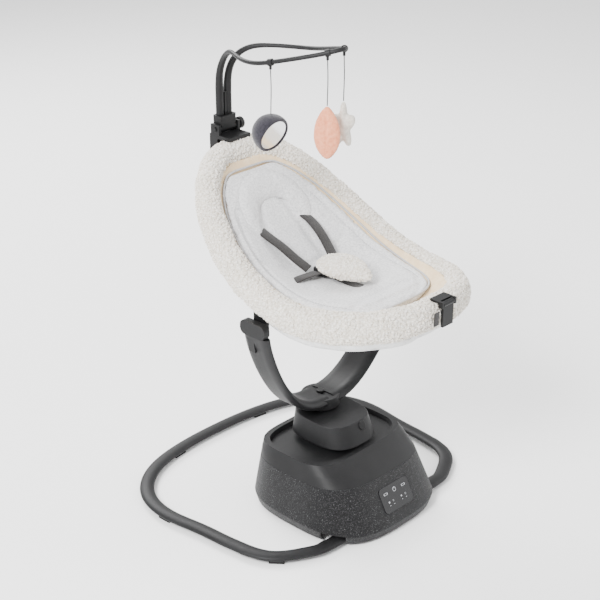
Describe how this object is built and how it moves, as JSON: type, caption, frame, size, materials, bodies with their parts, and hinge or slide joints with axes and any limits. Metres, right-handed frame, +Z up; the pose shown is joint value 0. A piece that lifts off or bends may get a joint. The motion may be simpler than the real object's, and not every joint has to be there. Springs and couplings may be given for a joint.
{
  "type": "baby swing",
  "caption": "Powered baby swing: fleece-rimmed reclining seat on a turning yoke, motor base with floor ring, toy arch.",
  "frame": {"origin": "on the floor under the centre of the base housing", "axes": "+Z up, -Y the front with the control panel and the seat's foot end, X = 0 the plane of symmetry"},
  "size_m": [0.64, 0.644, 0.9362],
  "materials": {
    "charcoal_plastic": "soft satin",
    "black_plastic": "satin",
    "gloss_panel": "gloss",
    "base_fabric": "heathered weave",
    "black_rubber": "matte",
    "steel": "bright",
    "green_board": "satin",
    "nylon_gear": "satin",
    "white_fabric": "plain weave",
    "beige_fabric": "plain weave",
    "heather_jersey": "heathered jersey",
    "white_fleece": "looped fleece",
    "frame_aluminium": "satin",
    "dark_webbing": "woven webbing",
    "tag_fabric": "woven tape",
    "toy_cord": "braided",
    "plum_jersey": "brushed jersey",
    "toy_mirror": "mirror film",
    "peach_muslin": "crinkled muslin",
    "cream_knit": "knit"
  },
  "bodies": {
    "base": {"skirt_fabric": "base_fabric", "skirt_shell": "charcoal_plastic", "top_cover": "charcoal_plastic", "base_plate": "black_plastic", "control_panel": "gloss_panel", "ring_rear_tube": "charcoal_plastic", "ring_corner_tubes": "charcoal_plastic", "ring_cross_tube": "charcoal_plastic", "ring_foot_pads": "black_rubber", "ring_clamps": "black_plastic", "rubber_feet": "black_rubber", "base_screws": "steel", "circuit_board": "green_board", "speaker": "black_plastic", "power_inlet": "black_plastic", "swing_bearings": "steel", "drive_tower": "black_plastic", "drive_motor": "steel"},
    "pinion": {"drive_pinion": "nylon_gear"},
    "turret": {"swing_shaft": "steel", "sector_gear": "nylon_gear", "turret_cover": "charcoal_plastic", "turret_chassis": "black_plastic", "rotation_bearing": "steel"},
    "release_button": {"rotation_release_button": "black_plastic", "button_spring": "steel"},
    "yoke": {"yoke_frame": "charcoal_plastic", "rotation_spindle": "steel", "arm_sockets": "black_plastic", "recline_pins": "steel"},
    "saddle_catch": {"saddle_catch": "black_plastic"},
    "left_tab": {"seat_release_tab_left": "black_plastic"},
    "right_tab": {"seat_release_tab_right": "black_plastic"},
    "seat": {"seat_outer_cover": "white_fabric", "inner_lining": "beige_fabric", "seat_insert": "heather_jersey", "fleece_rim": "white_fleece", "seat_frame_tube": "frame_aluminium", "head_hug_cushion": "heather_jersey", "harness_straps": "dark_webbing", "harness_buckle": "black_plastic", "crotch_strap": "dark_webbing", "crotch_pad": "white_fleece", "seat_brackets": "black_plastic", "lever_bracket": "black_plastic", "hinge_pins": "steel", "sewn_tags": "tag_fabric", "arch_clamp": "black_plastic"},
    "lever": {"recline_lever": "black_plastic"},
    "arch": {"arch_tubes": "charcoal_plastic", "arch_post_sleeve": "black_plastic", "toy_hangers": "charcoal_plastic"},
    "knob": {"arch_knob": "black_plastic"},
    "mirror_toy": {"mirror_toy_cord": "toy_cord", "mirror_toy_body": "plum_jersey", "mirror_disc": "toy_mirror"},
    "leaf_toy": {"leaf_toy_cord": "toy_cord", "leaf_toy_body": "peach_muslin"},
    "star_toy": {"star_toy_cord": "toy_cord", "star_toy_body": "cream_knit"}
  },
  "joints": [
    {"name": "swing", "type": "hinge", "parent": "base", "child": "turret", "pos_m": [0, 0.015, 0.147], "axis": [0, 0, 1], "range_deg": [-12, 12]},
    {"name": "drive_pinion_spin", "type": "hinge", "parent": "base", "child": "pinion", "pos_m": [0.0766, 0.015, 0.088], "axis": [0, 0, 1], "range_deg": [-60, 60]},
    {"name": "rotation_release", "type": "slide", "parent": "turret", "child": "release_button", "axis": [0, 0.9202, -0.3916], "range_m": [0, 0.004], "stiffness_N_per_m": 400},
    {"name": "seat_rotation", "type": "hinge", "parent": "turret", "child": "yoke", "pos_m": [0, 0.067, 0.2], "axis": [0, 0, 1], "continuous": true},
    {"name": "saddle_catch_press", "type": "slide", "parent": "yoke", "child": "saddle_catch", "axis": [0, 0, -1], "range_m": [0, 0.002], "stiffness_N_per_m": 400},
    {"name": "left_tab_press", "type": "slide", "parent": "yoke", "child": "left_tab", "axis": [1, 0, 0], "range_m": [0, 0.002], "stiffness_N_per_m": 400},
    {"name": "right_tab_press", "type": "slide", "parent": "yoke", "child": "right_tab", "axis": [-1, 0, 0], "range_m": [0, 0.002], "stiffness_N_per_m": 400},
    {"name": "recline", "type": "hinge", "parent": "yoke", "child": "seat", "pos_m": [0, 0.044, 0.44], "axis": [1, 0, 0], "range_deg": [-12, 4]},
    {"name": "recline_lever_lift", "type": "hinge", "parent": "seat", "child": "lever", "pos_m": [0, -0.2438, 0.51738], "axis": [-1, 0, 0], "range_deg": [0, 35], "stiffness_Nm_per_rad": 0.2},
    {"name": "arch_tilt", "type": "hinge", "parent": "seat", "child": "arch", "pos_m": [0, 0.33, 0.7201], "axis": [-1, 0, 0], "range_deg": [0, 60]},
    {"name": "arch_knob_turn", "type": "hinge", "parent": "seat", "child": "knob", "pos_m": [0, 0.33, 0.7201], "axis": [1, 0, 0], "range_deg": [0, 180]},
    {"name": "mirror_toy_swing", "type": "hinge", "parent": "arch", "child": "mirror_toy", "pos_m": [-0.069, 0.132, 0.8862], "axis": [1, 0, 0], "range_deg": [-15, 15]},
    {"name": "leaf_toy_swing", "type": "hinge", "parent": "arch", "child": "leaf_toy", "pos_m": [-0.022, 0.034, 0.9122], "axis": [1, 0, 0], "range_deg": [-15, 15]},
    {"name": "star_toy_swing", "type": "hinge", "parent": "arch", "child": "star_toy", "pos_m": [0.022, 0.034, 0.9122], "axis": [1, 0, 0], "range_deg": [-15, 15]}
  ],
  "couplings": [
    {"joint": "drive_pinion_spin", "follows": "swing", "ratio": -4.4286}
  ]
}
